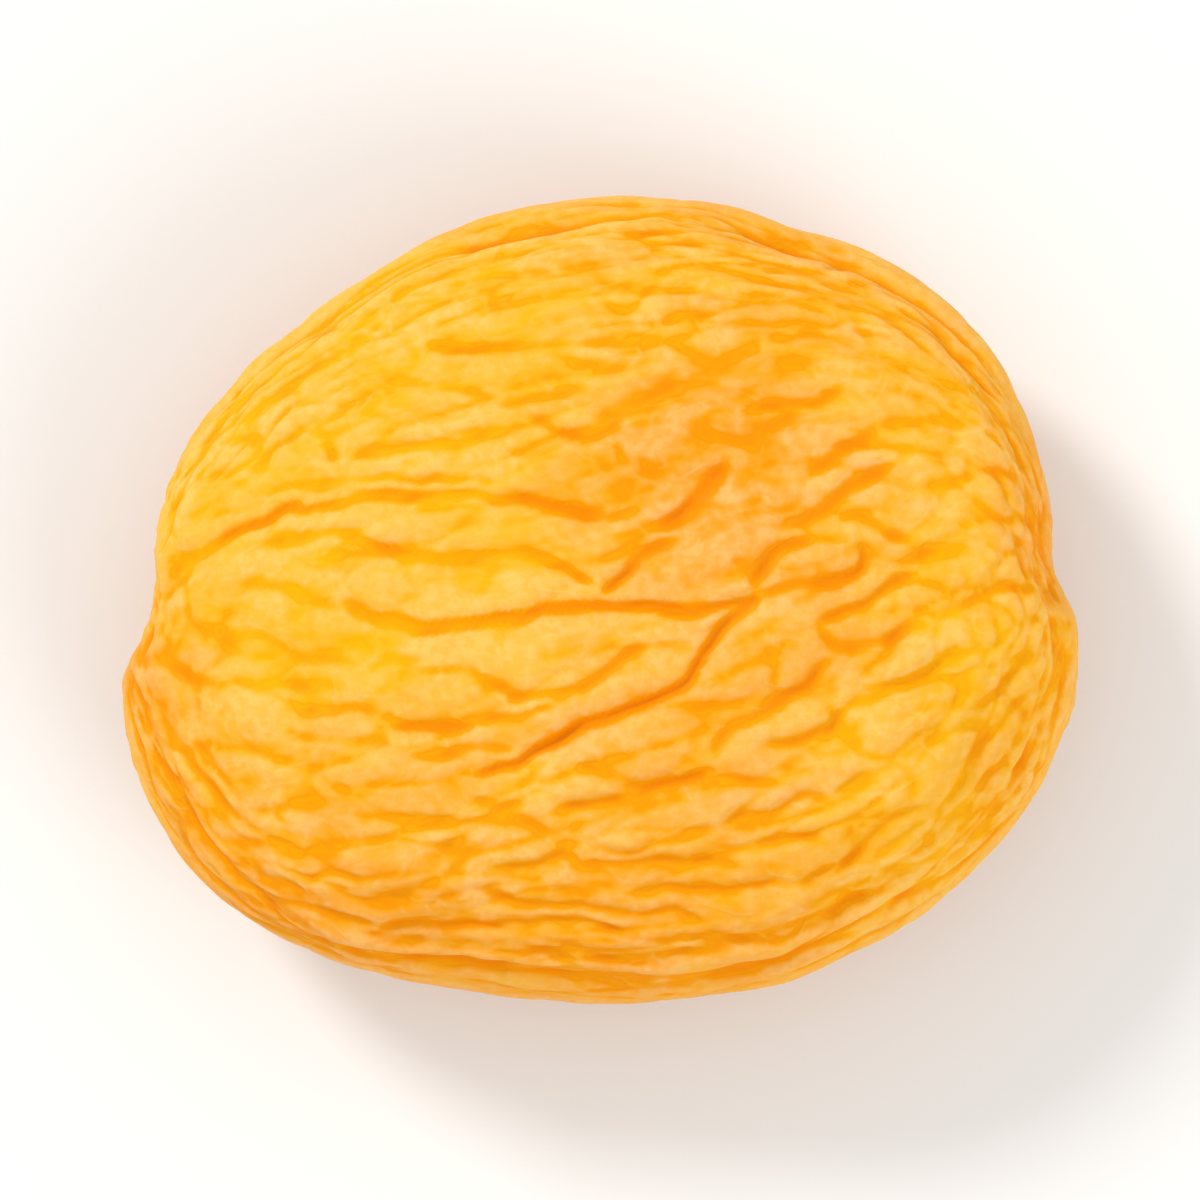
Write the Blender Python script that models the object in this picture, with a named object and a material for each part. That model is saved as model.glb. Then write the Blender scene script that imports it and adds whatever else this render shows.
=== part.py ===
"""A whole, pitted dried apricot lying on its flatter face.

The fruit is one solid: a plump oval pillow under a wrinkled skin. The stem end is at -X, the tip at +X,
and the seam runs round the +Y edge from one to the other. The skin is a sphere whose poles lie on X,
shaped by the formulas below. The model is in metres and its origin is under the middle of its box.
"""

import math

import bmesh
import bpy
import numpy as np
from mathutils import Matrix, Vector, noise

NAME = "dried_apricot"

# Overall size, in metres
LENGTH = 0.0400
WIDTH = 0.0337
THICKNESS = 0.0150

# Strips of skin side by side round the long axis, and rings along it
STRIPS = 130
RINGS = 44

# From here to the end of the sizes every length is in millimetres and every angle in degrees.
# The finished skin is brought to its overall size in metres

# Outline seen from above: waves round the fruit, height of the wave, bearing of one of its peaks
MEAN_RADIUS = 18.3
OUTLINE_WAVES = (
    (1, 0.40, -49.0),
    (2, 1.70, 9.5),
    (3, 0.36, -36.7),
    (4, 0.19, 33.8),
    (6, 0.19, -22.8),
)

# The two ends: bearing, turn that leads to the fuller -Y side, dip of the outline, depth and width of the hollow
STEM_END = {"bearing": 183.0, "turn": 1.0, "dip": 0.45, "hollow": 1.25, "hollow_width": 7.5}
TIP_END = {"bearing": 3.0, "turn": -1.0, "dip": 0.40, "hollow": 0.75, "hollow_width": 6.0}
DIP_WIDTH = 4.0
SHOULDER = 0.55
SHOULDER_WIDTH = 4.0
SHOULDER_REACH = 24.0

# Side view: half heights above and below the edge, and how blunt the edge and the two faces are
UPPER_HEIGHT = 8.0
LOWER_HEIGHT = 7.0
EDGE_FULLNESS = 0.16
FACE_FLATNESS = 0.12

# Ovals that the strips and the rings of the mesh are spaced evenly on: half widths and half heights
STRIP_OVAL = (17.0, 7.5)
RING_OVAL = (20.0, 12.0)

# Skin pads: cells along the fruit, cells round it, and how far the rows lean across the faces
PADS_ALONG = 7.0
PADS_ROUND = 33.0
ROW_LEAN = 26.0
PAD_HEIGHT = 0.50
PAD_SOFTNESS = 0.30
EDGE_PAD_SHARE = 0.45

# Broad dents: size of a dent and its depth
DENTS = ((11.0, 0.55), (5.0, 0.28))

# Folds along the edge: angle round the long axis from the +Y edge, depth, width and sway.
# The first two are the seam: a wide valley with a sharp fold along its bottom
EDGE_FOLDS = (
    (22.0, 0.75, 11.0, 3.0),
    (22.0, 0.35, 3.0, 3.0),
    (-3.0, 0.30, 3.5, 6.0),
    (-26.0, 0.35, 5.0, 7.0),
    (158.0, 0.35, 3.5, 5.0),
    (172.0, 0.30, 3.5, 6.0),
    (193.0, 0.35, 4.5, 6.0),
)

# Deep creases: depth, half width, and points seen from above, from the middle of the fruit
UPPER_CREASES = (
    (0.75, 0.85, ((-17.5, 1.4), (-14.5, 2.8), (-11.6, 3.9), (-7.4, 4.7), (-3.5, 4.6), (0.2, 3.7))),
    (0.50, 0.75, ((-12.5, 4.8), (-8.8, 5.3), (-4.6, 4.9))),
    (0.65, 0.75, ((-11.0, 3.1), (-8.4, 2.0), (-4.2, 1.9), (-1.5, 1.5), (0.3, 0.8))),
    (0.85, 0.80, ((-8.4, -0.9), (-2.7, -0.3), (0.6, 0.2), (5.0, -0.3), (7.8, 0.7), (11.2, 1.8))),
    (0.95, 0.80, ((8.8, 2.8), (6.5, 0.6), (4.4, -2.0), (3.0, -3.7), (-0.8, -5.2), (-4.2, -7.0))),
    (1.00, 1.20, ((0.6, 0.5), (3.4, 2.6), (4.7, 5.0), (6.2, 6.5), (9.2, 7.5))),
    (0.60, 0.90, ((-0.8, 6.8), (2.5, 8.3), (4.6, 7.0))),
    (0.70, 0.80, ((5.0, -5.8), (6.0, -4.7), (8.0, -3.8), (10.2, -2.2), (13.5, -0.7), (17.3, -0.5))),
    (0.50, 0.75, ((-3.8, -3.7), (-0.6, -3.4), (1.1, -2.2))),
    (0.55, 0.75, ((9.7, -1.0), (12.0, 0.2), (14.5, 1.4))),
    (0.50, 0.75, ((10.0, -5.0), (13.0, -3.3), (17.9, -1.0))),
    (0.50, 0.75, ((8.6, 4.6), (11.2, 5.2), (13.5, 6.0))),
    (0.45, 0.75, ((-6.5, 10.3), (-4.2, 10.1), (-1.5, 10.8))),
    (0.45, 0.75, ((-10.5, -6.4), (-6.0, -5.6), (-2.0, -6.0))),
    (0.45, 0.80, ((-9.0, -10.0), (-2.0, -9.2), (5.0, -9.8), (10.0, -8.4))),
)
LOWER_CREASES = (
    (0.70, 0.90, ((-16.5, -1.0), (-10.0, -3.2), (-3.0, -3.4), (3.0, -5.6))),
    (0.60, 0.80, ((-9.0, 6.4), (-3.0, 7.8), (4.0, 7.0), (10.0, 4.2))),
    (0.70, 0.85, ((7.0, 0.6), (11.5, -1.4), (16.5, -0.6))),
    (0.50, 0.80, ((-13.0, 3.4), (-8.0, 2.4), (-6.2, 0.4))),
    (0.50, 0.80, ((0.0, -10.4), (6.0, -10.0), (11.0, -6.6))),
)
CREASE_FADE = 0.16
LIP_HEIGHT = 0.22
LIP_OFFSET = 1.75

# Flat spot that the fruit lies on: how far the belly swells there, how much of it is pressed flat,
# and where the folds fade out to it
REST_SWELL = 0.55
REST_PRESS = 0.35
REST_FADE_IN = 4.0
REST_FADE_OUT = 9.0

SKIN_COLOUR = (0.87, 0.40, 0.045, 1.0)
SKIN_ROUGHNESS = 0.48


def clear_scene():
    """Removes the objects that the file opens with."""
    for item in list(bpy.data.objects):
        bpy.data.objects.remove(item, do_unlink=True)


def ramp(values, start, end):
    """A smooth step from 0 at start to 1 at end."""
    share = np.clip((values - start) / (end - start), 0.0, 1.0)
    return share * share * (3.0 - 2.0 * share)


def bell(values, width):
    """A smooth bump: 1 where the value is 0, and near 0 past twice the width."""
    return np.exp(-np.square(values / width))


def even_angles(angles, oval):
    """Angles that space points evenly round an oval, from angles that space them evenly round a circle."""
    circle = np.linspace(0.0, math.tau, 721)
    steps = np.hypot(np.diff(oval[0] * np.cos(circle)), np.diff(oval[1] * np.sin(circle)))
    travelled = np.concatenate(([0.0], np.cumsum(steps))) / steps.sum()
    return np.interp(angles % math.tau, travelled * math.tau, circle)


def spread_evenly(directions):
    """Moves the vertices of the sphere so that they are evenly spaced once it is flattened."""
    along = even_angles(np.arccos(np.clip(-directions[:, 0], -1.0, 1.0)), RING_OVAL)
    around = even_angles(np.arctan2(directions[:, 2], directions[:, 1]), STRIP_OVAL)
    girth = np.sin(along)
    return np.column_stack((-np.cos(along), girth * np.cos(around), girth * np.sin(around)))


def turn_from(bearings, bearing):
    """Angles from one bearing to others, in degrees between -180 and 180."""
    return (bearings - bearing + 180.0) % 360.0 - 180.0


def end_outline(bearings, end):
    """How far the outline dips at one end and bulges on the shoulder past it."""
    turn = end["turn"] * turn_from(bearings, end["bearing"])
    shoulder = SHOULDER * np.tanh(turn / SHOULDER_WIDTH) * bell(turn, SHOULDER_REACH)
    return shoulder - end["dip"] * bell(turn, DIP_WIDTH)


def pillow(directions):
    """The smooth body under the wrinkles, in millimetres, for unit directions from its middle."""
    bearings = np.degrees(np.arctan2(directions[:, 1], directions[:, 0]))
    rise = directions[:, 2]
    reach = np.sqrt(np.clip(1.0 - rise * rise, 0.0, 1.0))
    radius = np.full(len(directions), MEAN_RADIUS)
    for waves, height, peak in OUTLINE_WAVES:
        radius += height * np.cos(np.radians(waves * (bearings - peak)))
    for end in (STEM_END, TIP_END):
        radius += end_outline(bearings, end) * reach**6
    spread = (1.0 + EDGE_FULLNESS * rise * rise) * radius
    half_height = np.where(rise > 0.0, UPPER_HEIGHT, LOWER_HEIGHT)
    height = half_height * rise * (1.0 + FACE_FLATNESS * reach * reach)
    return np.column_stack((directions[:, 0] * spread, directions[:, 1] * spread, height))


def distance_to_path(points, path):
    """Distance from each point to a bent line in plan, and the share of the line that lies before the nearest place."""
    path = np.asarray(path)
    steps = np.linalg.norm(np.diff(path, axis=0), axis=1)
    starts = np.concatenate(([0.0], np.cumsum(steps)))
    best = np.full(len(points), np.inf)
    share = np.zeros(len(points))
    for first, second, step, start in zip(path[:-1], path[1:], steps, starts[:-1]):
        along = np.clip((points - first) @ (second - first) / step**2, 0.0, 1.0)
        gap = np.linalg.norm(points - first - along[:, None] * (second - first), axis=1)
        nearer = gap < best
        best = np.where(nearer, gap, best)
        share = np.where(nearer, (start + along * step) / starts[-1], share)
    return best, share


def smooth_path(path, rounds=2):
    """Rounds the corners of a path by cutting them, and keeps its two ends."""
    path = np.asarray(path)
    for _ in range(rounds):
        nearer = 0.75 * path[:-1] + 0.25 * path[1:]
        further = 0.25 * path[:-1] + 0.75 * path[1:]
        middle = np.stack((nearer, further), axis=1).reshape(-1, 2)
        path = np.vstack((path[:1], middle[1:-1], path[-1:]))
    return path


def crease_relief(plan, creases):
    """Narrow grooves with a low lip on each side, fading out at both ends of each crease."""
    groove = np.zeros(len(plan))
    lip = np.zeros(len(plan))
    for depth, width, path in creases:
        gap, share = distance_to_path(plan, smooth_path(path))
        fade = ramp(share, -0.02, CREASE_FADE) * ramp(1.0 - share, -0.02, CREASE_FADE)
        groove = np.maximum(groove, depth * fade * bell(gap, width))
        lip = np.maximum(lip, LIP_HEIGHT * fade * bell(gap - LIP_OFFSET * width, width))
    return lip * np.clip(1.0 - groove / LIP_HEIGHT, 0.0, 1.0) - groove


def pad_relief(along, around):
    """Low pads in rows from end to end, with soft creases between them."""
    lean = math.radians(ROW_LEAN) * ramp(along, 0.7, 2.5) * np.sin(around) ** 2
    leaned = around + lean
    ring = PADS_ROUND / math.tau * np.sqrt(np.sin(along))
    cells = np.column_stack((along * PADS_ALONG / math.pi, ring * np.cos(leaned), ring * np.sin(leaned)))
    relief = np.zeros(len(cells))
    for index, cell in enumerate(cells):
        distances, _ = noise.voronoi(Vector(cell))
        relief[index] = 1.0 - math.exp(-(distances[1] - distances[0]) / PAD_SOFTNESS)
    faces = EDGE_PAD_SHARE + (1.0 - EDGE_PAD_SHARE) * ramp(np.abs(np.sin(around)), 0.15, 0.50)
    return PAD_HEIGHT * relief * faces * ramp(np.sin(along), 0.02, 0.40)


def dent_relief(points):
    """Broad dents and swellings of the whole body."""
    relief = np.zeros(len(points))
    for size, depth in DENTS:
        relief += depth * np.array([noise.noise(Vector(point / size)) for point in points])
    return relief


def edge_relief(along, around):
    """Folds that run along the edge from the stem end to the tip, the seam among them."""
    relief = np.zeros(len(along))
    angles = np.degrees(around)
    for order, (place, depth, width, sway) in enumerate(EDGE_FOLDS):
        drift = np.array([noise.noise(Vector((2.2 * value, 7.0 * order, 0.5))) for value in along])
        turn = turn_from(angles, place + sway * drift)
        relief -= depth * bell(turn, width) * ramp(np.sin(along), 0.05, 0.35)
    return relief


def end_relief(directions, end):
    """The small hollow that the skin is drawn into at one end."""
    bearing = math.radians(end["bearing"])
    centre = np.array((round(math.cos(bearing)), 0.0, 0.0))
    turn = np.degrees(np.arccos(np.clip(directions @ centre, -1.0, 1.0)))
    return -end["hollow"] * bell(turn, end["hollow_width"])


def skin_relief(directions, body):
    """Height of the skin over the smooth body, in millimetres."""
    along = np.arccos(np.clip(-directions[:, 0], -1.0, 1.0))
    around = np.arctan2(directions[:, 2], directions[:, 1])
    plan = body[:, :2]
    rise = directions[:, 2]
    relief = pad_relief(along, around) + dent_relief(body) + edge_relief(along, around)
    relief += crease_relief(plan, UPPER_CREASES) * ramp(rise, 0.05, 0.25)
    relief += crease_relief(plan, LOWER_CREASES) * ramp(-rise, 0.05, 0.25)
    relief += end_relief(directions, STEM_END) + end_relief(directions, TIP_END)
    centre_distance = np.linalg.norm(plan, axis=1)
    on_belly = ramp(-rise, 0.2, 0.5)
    spot = on_belly * (1.0 - ramp(centre_distance, REST_FADE_IN, REST_FADE_OUT))
    return relief * (1.0 - spot) + REST_SWELL * spot


def move_vertices(body_mesh, points):
    """Moves every vertex of the mesh to its new point."""
    for vertex, point in zip(body_mesh.verts, points):
        vertex.co = Vector(point)
    body_mesh.normal_update()


def press_flat(points):
    """Presses the lowest part of the belly into one level spot."""
    floor = points[:, 2].min() + REST_PRESS
    points[:, 2] = np.maximum(points[:, 2], floor)
    return points


def fit_to_size(points):
    """Brings the skin to its exact size in metres, standing at height 0 with its box centred on the origin."""
    low = points.min(axis=0)
    high = points.max(axis=0)
    middle = (low + high) / 2.0
    middle[2] = low[2]
    return (points - middle) * np.array((LENGTH, WIDTH, THICKNESS)) / (high - low)


def build_skin():
    """The whole skin as one closed mesh."""
    skin = bmesh.new()
    poles_on_x = Matrix.Rotation(math.radians(-90.0), 4, "Y")
    bmesh.ops.create_uvsphere(skin, u_segments=STRIPS, v_segments=RINGS, radius=1.0, matrix=poles_on_x)
    directions = spread_evenly(np.array([vertex.co.normalized() for vertex in skin.verts]))
    body = pillow(directions)
    move_vertices(skin, body)
    normals = np.array([vertex.normal for vertex in skin.verts])
    wrinkled = body + normals * skin_relief(directions, body)[:, None]
    move_vertices(skin, fit_to_size(press_flat(wrinkled)))
    mesh = bpy.data.meshes.new(NAME)
    skin.to_mesh(mesh)
    skin.free()
    mesh.shade_smooth()
    return mesh


def skin_material():
    """The satin, amber-gold skin."""
    material = bpy.data.materials.new("apricot_skin")
    material.use_nodes = True
    shader = material.node_tree.nodes["Principled BSDF"]
    shader.inputs["Base Color"].default_value = SKIN_COLOUR
    shader.inputs["Roughness"].default_value = SKIN_ROUGHNESS
    shader.inputs["Metallic"].default_value = 0.0
    material.diffuse_color = SKIN_COLOUR
    return material


def main():
    """Builds the fruit in an empty scene."""
    clear_scene()
    mesh = build_skin()
    mesh.materials.append(skin_material())
    fruit = bpy.data.objects.new(NAME, mesh)
    bpy.context.collection.objects.link(fruit)


main()
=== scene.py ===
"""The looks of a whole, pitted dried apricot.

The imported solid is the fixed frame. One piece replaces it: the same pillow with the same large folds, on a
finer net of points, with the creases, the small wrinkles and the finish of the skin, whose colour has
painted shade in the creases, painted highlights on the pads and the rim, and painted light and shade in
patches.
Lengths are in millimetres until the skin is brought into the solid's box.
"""

import logging
import math
from dataclasses import dataclass, field
from enum import Enum

import bmesh
import bpy
import numpy as np
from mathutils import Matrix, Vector, noise
from numpy.typing import NDArray

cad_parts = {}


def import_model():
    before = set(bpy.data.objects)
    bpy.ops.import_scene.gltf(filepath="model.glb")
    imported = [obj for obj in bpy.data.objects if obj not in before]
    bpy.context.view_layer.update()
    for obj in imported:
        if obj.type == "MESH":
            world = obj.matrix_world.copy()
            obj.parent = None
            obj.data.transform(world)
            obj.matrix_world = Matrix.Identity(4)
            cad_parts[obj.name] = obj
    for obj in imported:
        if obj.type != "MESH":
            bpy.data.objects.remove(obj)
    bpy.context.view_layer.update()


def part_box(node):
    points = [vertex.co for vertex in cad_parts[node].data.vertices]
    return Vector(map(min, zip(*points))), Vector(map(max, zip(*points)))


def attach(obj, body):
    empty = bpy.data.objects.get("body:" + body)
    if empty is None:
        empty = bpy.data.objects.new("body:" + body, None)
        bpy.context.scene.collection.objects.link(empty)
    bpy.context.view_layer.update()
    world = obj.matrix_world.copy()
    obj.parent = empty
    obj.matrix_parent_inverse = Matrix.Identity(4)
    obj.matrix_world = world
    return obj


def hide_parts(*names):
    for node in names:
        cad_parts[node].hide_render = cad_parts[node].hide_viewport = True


Numbers = NDArray[np.float64]
Indices = NDArray[np.int64]
Span = tuple[float, float]
PlanPath = tuple[float, ...]
CreaseRow = tuple[float, float, PlanPath]
Socket = bpy.types.NodeSocket
Colour = tuple[float, float, float, float]

LOG = logging.getLogger("dried_apricot")
NODE = "dried_apricot"
BODY = "root"
MM = 0.001
SWAY_SEED = 3


class Mark(Enum):
    """The measures of the skin that its finish reads at every point, some of them to paint light and shade.
    """

    # Painted shade: how sunk the skin is; the colour turns to the deep orange of the creases there.
    HOLLOW_SHADE = "hollow"
    # Partly the skin's paler tone, partly painted highlight: how far the skin stands up, which makes the
    # pads pale.
    RIDGE_HIGHLIGHT = "ridge"
    # Partly the skin's own orange and yellow tone, partly painted light and shade: how orange each point is.
    WARMTH_AND_SHADING = "warmth_and_shading"
    FLOW = "flow"


def ramp(values: Numbers, start: float, end: float) -> Numbers:
    """A smooth step.

    Args:
        values: Where to read the step.
        start: The value at which it leaves 0.
        end: The value at which it reaches 1.

    Returns:
        The height of the step at each value.
    """
    share = np.clip((values - start) / (end - start), 0.0, 1.0)
    return share * share * (3.0 - 2.0 * share)


def bell(values: Numbers, width: float) -> Numbers:
    """A smooth bump.

    Args:
        values: Distances from the middle of the bump.
        width: The distance at which it has fallen to about a third.

    Returns:
        1 in the middle of the bump, and near 0 past twice the width.
    """
    return np.exp(-np.square(values / width))


def turn_from(bearings: Numbers, bearing: float | Numbers) -> Numbers:
    """Angles from one bearing to others.

    Args:
        bearings: Where the angles lead, in degrees.
        bearing: Where they start, in degrees.

    Returns:
        Angles between -180 and 180 degrees.
    """
    return (bearings - bearing + 180.0) % 360.0 - 180.0


def soft_noise(points: Numbers, size: float, seed: float = 0.0) -> Numbers:
    """Smooth noise that swells and sinks about 0.

    Args:
        points: Where to read it, one row of three numbers for each point.
        size: The distance over which it swells and sinks once.
        seed: Shifts the noise, so that two uses of it differ.

    Returns:
        A value between about -0.7 and 0.7 at each point.
    """
    shift = Vector((seed, 2.0 * seed, -seed))
    return np.array([noise.noise(Vector(point) / size + shift) for point in points])


def streak_noise(points: Numbers) -> Numbers:
    """Sharp crested noise in three sizes, for wrinkles.

    Args:
        points: Where to read it, scaled so that one wrinkle is about 1 wide.

    Returns:
        About 0 in the creases and up to 1 on the crests.
    """
    fading, finer, octaves, offset, gain = 1.0, 2.1, 3, 1.0, 2.0
    values = [
        noise.ridged_multi_fractal(Vector(point), fading, finer, octaves, offset, gain) for point in points
    ]
    return np.clip(np.array(values) / 2.0, 0.0, 1.0)


def cell_edges(points: Numbers) -> Numbers:
    """How far each point is from the border of its cell.

    Args:
        points: Where to read it, scaled so that a cell is about 1 across.

    Returns:
        0 on a border, and about 0.5 in the middle of a cell.
    """
    reach = np.empty(len(points))
    for index, point in enumerate(points):
        distances, _ = noise.voronoi(Vector(point))
        reach[index] = distances[1] - distances[0]
    return reach


@dataclass(frozen=True)
class Sway:
    """Pushes points about by smooth noise, so that straight lines through them turn wavy.

    Size is the distance over which the push changes, and reach is how far it goes.
    """

    size: float
    reach: float
    seed: float

    def moved(self, points: Numbers) -> Numbers:
        """Points pushed about.

        Args:
            points: One row of three numbers for each point.

        Returns:
            The moved points.
        """
        noise.seed_set(SWAY_SEED)
        shift = Vector((self.seed, -2.0 * self.seed, self.seed))
        pushes = [noise.noise_vector(Vector(point) / self.size + shift) for point in points]
        return points + self.reach * np.array(pushes)


@dataclass
class SkinNet:
    """A closed net of even triangles round the fruit: an icosahedron with divided faces."""

    divisions: int = 99
    half_width: float = 18.0
    half_height: float = 7.5
    upper_density: float = 1.6
    slope_steps: int = 721
    merge_decimals: int = 6

    def __post_init__(self) -> None:
        """Finds the net's directions, faces and edges."""
        points, faces = self.divided_icosahedron()
        self.directions = self.spread_evenly(points / np.linalg.norm(points, axis=1)[:, None])
        self.faces = faces
        pairs = np.sort(np.vstack((faces[:, :2], faces[:, 1:], faces[:, ::2])), axis=1)
        self.edges = np.unique(pairs, axis=0)
        self.neighbours = np.bincount(self.edges.ravel(), minlength=len(points))

    def divided_icosahedron(self) -> tuple[Numbers, Indices]:
        """An icosahedron with every face divided into small triangles.

        Returns:
            The points on its flat faces, and the three corners of every small triangle.
        """
        solid = bmesh.new()
        bmesh.ops.create_icosphere(solid, subdivisions=1, radius=1.0)
        corners = np.array([[vert.co[:] for vert in face.verts] for face in solid.faces])
        solid.free()
        count = self.divisions
        steps = [(second, third) for third in range(count + 1) for second in range(count + 1 - third)]
        place = {step: order for order, step in enumerate(steps)}
        shares = np.array([(count - second - third, second, third) for second, third in steps]) / count
        cells: list[tuple[int, int, int]] = []
        for second, third in steps:
            if second + third < count:
                cells.append((place[second, third], place[second + 1, third], place[second, third + 1]))
            if second + third < count - 1:
                cells.append(
                    (place[second + 1, third], place[second + 1, third + 1], place[second, third + 1])
                )
        points = np.concatenate([shares @ corner for corner in corners])
        faces = np.concatenate([np.array(cells) + order * len(steps) for order in range(len(corners))])
        rounded = np.round(points, self.merge_decimals)
        merged, where = np.unique(rounded, axis=0, return_inverse=True)
        return merged, where.ravel()[faces]

    def spread_evenly(self, directions: Numbers) -> Numbers:
        """Moves directions so that their points lie evenly on the flat fruit, closer on its upper face.

        Args:
            directions: Unit directions that are even on a sphere.

        Returns:
            The moved unit directions.
        """
        slopes = np.linspace(0.0, math.pi, self.slope_steps)
        density = np.where(slopes < math.pi / 2.0, self.upper_density, 1.0)
        length = np.hypot(self.half_width * np.cos(slopes), self.half_height * np.sin(slopes))
        area = np.sin(slopes) * length
        total = np.cumsum(area * density)
        share = (total - total[0]) / (total[-1] - total[0])
        slope = np.interp((1.0 - directions[:, 2]) / 2.0, share, slopes)
        bearing = np.arctan2(directions[:, 1], directions[:, 0])
        return np.column_stack(
            (np.sin(slope) * np.cos(bearing), np.sin(slope) * np.sin(bearing), np.cos(slope))
        )

    def angles(self) -> tuple[Numbers, Numbers]:
        """The place of every point.

        Returns:
            The angles along the fruit from the stem end, and those round it from the +Y edge, in radians.
        """
        along = np.arccos(np.clip(-self.directions[:, 0], -1.0, 1.0))
        around = np.arctan2(self.directions[:, 2], self.directions[:, 1])
        return along, around

    def smoothed(self, values: Numbers, passes: int) -> Numbers:
        """Spreads values over the net.

        Args:
            values: One value for each point.
            passes: How often each value is mixed with those beside it.

        Returns:
            The values with their finer changes gone.
        """
        first, second = self.edges.T
        count = len(values)
        for _ in range(passes):
            beside = np.bincount(first, values[second], count) + np.bincount(second, values[first], count)
            values = (values + beside / self.neighbours) / 2.0
        return values


@dataclass(frozen=True)
class FruitEnd:
    """One end of the fruit, where the skin is drawn in."""

    bearing: float
    turn: float
    dip: float
    hollow: float
    hollow_width: float
    dip_width: float = 4.0
    shoulder: float = 0.55
    shoulder_width: float = 4.0
    shoulder_reach: float = 24.0

    def outline(self, bearings: Numbers) -> Numbers:
        """The dip of the outline and the fuller shoulder beside it.

        Args:
            bearings: Bearings from the middle of the fruit, in degrees.

        Returns:
            How far the outline moves out at each bearing.
        """
        turn = self.turn * turn_from(bearings, self.bearing)
        shoulder = self.shoulder * np.tanh(turn / self.shoulder_width) * bell(turn, self.shoulder_reach)
        return shoulder - self.dip * bell(turn, self.dip_width)

    def relief(self, directions: Numbers) -> Numbers:
        """The small hollow at the end itself.

        Args:
            directions: Unit directions from the middle of the fruit.

        Returns:
            The depth of the hollow, below 0.
        """
        side = math.copysign(1.0, math.cos(math.radians(self.bearing)))
        turn = np.degrees(np.arccos(np.clip(side * directions[:, 0], -1.0, 1.0)))
        return -self.hollow * bell(turn, self.hollow_width)


@dataclass(frozen=True)
class Pillow:
    """The smooth body under the wrinkles."""

    stem_end: FruitEnd = FruitEnd(bearing=183.0, turn=1.0, dip=0.45, hollow=1.25, hollow_width=7.5)
    tip_end: FruitEnd = FruitEnd(bearing=3.0, turn=-1.0, dip=0.40, hollow=0.75, hollow_width=6.0)
    mean_radius: float = 18.3
    outline_waves: tuple[tuple[int, float, float], ...] = (
        (1, 0.40, -49.0),
        (2, 1.70, 9.5),
        (3, 0.36, -36.7),
        (4, 0.19, 33.8),
        (6, 0.19, -22.8),
    )
    upper_height: float = 8.0
    lower_height: float = 7.0
    edge_fullness: float = 0.16
    face_flatness: float = 0.12

    def points(self, directions: Numbers) -> Numbers:
        """Places on the smooth body.

        Args:
            directions: Unit directions from its middle.

        Returns:
            One point for each direction.
        """
        bearings = np.degrees(np.arctan2(directions[:, 1], directions[:, 0]))
        rise = directions[:, 2]
        reach = np.sqrt(np.clip(1.0 - rise * rise, 0.0, 1.0))
        radius = np.full(len(directions), self.mean_radius)
        for waves, height, peak in self.outline_waves:
            radius += height * np.cos(np.radians(waves * (bearings - peak)))
        for end in (self.stem_end, self.tip_end):
            radius += end.outline(bearings) * reach**6
        spread = (1.0 + self.edge_fullness * rise * rise) * radius
        half_height = np.where(rise > 0.0, self.upper_height, self.lower_height)
        height = half_height * rise * (1.0 + self.face_flatness * reach * reach)
        return np.column_stack((directions[:, 0] * spread, directions[:, 1] * spread, height))


@dataclass(frozen=True)
class Crease:
    """One crease, along a path seen from above: sharp at its bottom, soft beside it, and tapering off."""

    depth: float
    width: float
    path: PlanPath
    sharp_width: float = 0.20
    least_width: float = 0.10
    sharp_share: float = 0.36
    broad_extra: float = 1.0
    broad_share: float = 0.26
    overrun: float = 1.0
    taper: float = 1.8
    tip_share: float = 0.20
    swell_share: float = 0.38
    reach_share: float = 2.5

    def smooth_path(self) -> Numbers:
        """The path with its ends carried on a little, and its corners cut twice."""
        path = np.array(self.path, dtype=float).reshape(-1, 2)
        leads = np.array((path[0] - path[1], path[-1] - path[-2]))
        leads *= self.overrun / np.linalg.norm(leads, axis=1)[:, None]
        path = np.vstack((path[:1] + leads[:1], path, path[-1:] + leads[1:]))
        for _ in range(2):
            nearer = 0.75 * path[:-1] + 0.25 * path[1:]
            further = 0.25 * path[:-1] + 0.75 * path[1:]
            middle = np.stack((nearer, further), axis=1).reshape(-1, 2)
            path = np.vstack((path[:1], middle[1:-1], path[-1:]))
        return path

    def groove(self, plan: Numbers) -> tuple[Numbers, Numbers]:
        """The groove of this crease.

        Args:
            plan: Points seen from above.

        Returns:
            The order of the points that it reaches, and the depth of the groove at each of them.
        """
        path = self.smooth_path()
        reach = self.reach_share * (self.width + self.broad_extra)
        inside = np.all((plan > path.min(axis=0) - reach) & (plan < path.max(axis=0) + reach), axis=1)
        reached = np.flatnonzero(inside)
        near = plan[reached]
        steps = np.linalg.norm(np.diff(path, axis=0), axis=1)
        starts = np.concatenate(([0.0], np.cumsum(steps)))
        gap = np.full(len(near), np.inf)
        travelled = np.zeros(len(near))
        for first, second, step, start in zip(path[:-1], path[1:], steps, starts[:-1]):
            along = np.clip((near - first) @ (second - first) / step**2, 0.0, 1.0)
            distance = np.linalg.norm(near - first - along[:, None] * (second - first), axis=1)
            nearer = distance < gap
            gap = np.where(nearer, distance, gap)
            travelled = np.where(nearer, start + along * step, travelled)
        taper = min(self.taper, 0.5 * starts[-1])
        to_end = np.minimum(travelled, starts[-1] - travelled)
        fade = ramp(to_end, 0.0, taper)
        rounded = np.hypot(gap, self.least_width) - self.least_width
        sharp = np.exp(-rounded / self.sharp_width)
        soft = bell(gap, self.least_width + self.width * (self.tip_share + self.swell_share * fade))
        broad = bell(gap, self.width + self.broad_extra)
        profile = self.sharp_share * sharp + self.broad_share * broad
        profile += (1.0 - self.sharp_share - self.broad_share) * soft
        return reached, self.depth * fade * profile


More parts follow.
